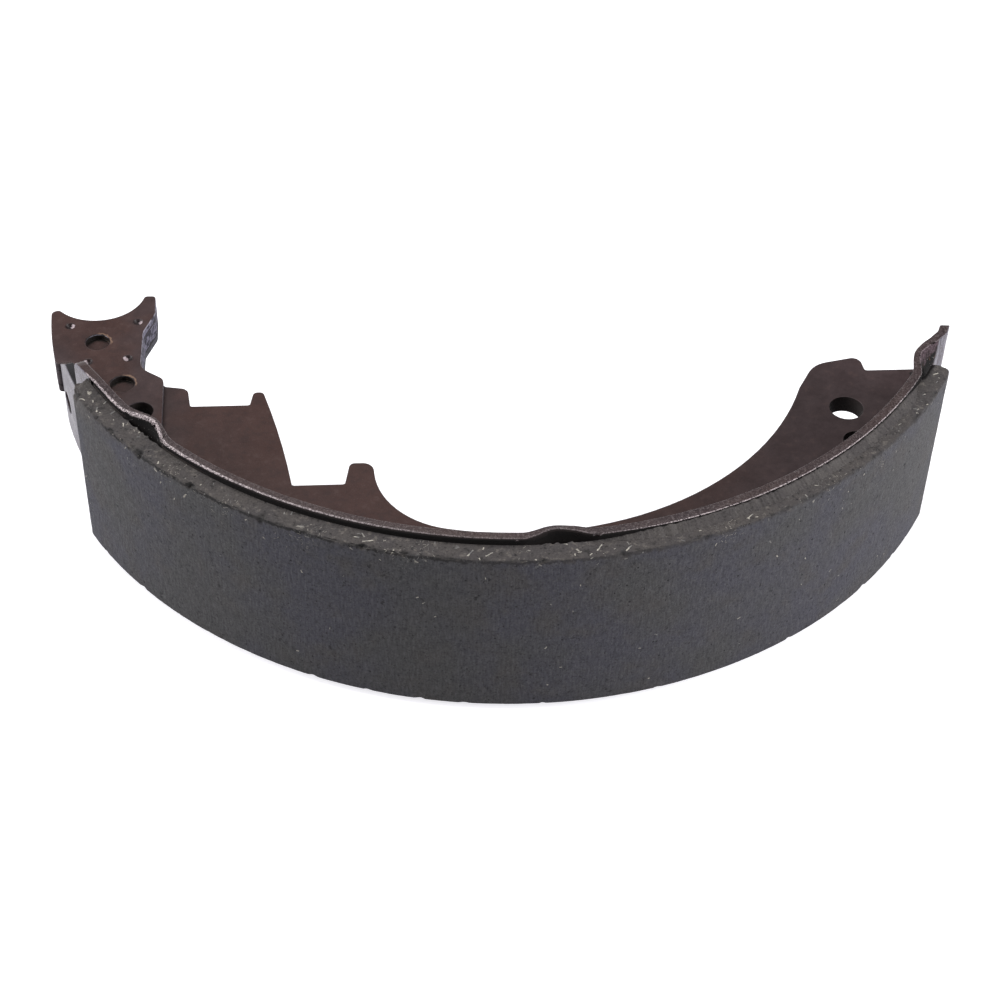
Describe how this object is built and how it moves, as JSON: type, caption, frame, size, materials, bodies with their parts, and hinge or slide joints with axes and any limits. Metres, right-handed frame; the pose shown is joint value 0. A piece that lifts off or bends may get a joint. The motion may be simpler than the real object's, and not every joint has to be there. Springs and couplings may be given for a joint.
{
  "type": "brake shoe",
  "caption": "Drum brake shoe: bonded friction lining on a curved steel table with pressed guide nibs, a notched flat web and doubler plates at the half-round anchor end.",
  "frame": {"origin": "under the middle of the shoe, in the plane that the table's lower edge rests on; the drum's axis stands 5.29 mm towards +X and 76.72 mm towards +Y of it", "axes": "+Z along the drum's axis, out of the edge that carries the guide nibs; -Y towards the middle of the rubbing face; +X towards the adjuster end, with the anchor end at -X"},
  "size_m": [0.2889, 0.1566, 0.0645],
  "materials": {
    "friction_lining": "matte",
    "shoe_steel": "satin"
  },
  "bodies": {
    "root": {"friction_lining": "friction_lining", "shoe_table": "shoe_steel", "web": "shoe_steel", "upper_doubler": "shoe_steel", "lower_doubler": "shoe_steel"}
  },
  "joints": []
}
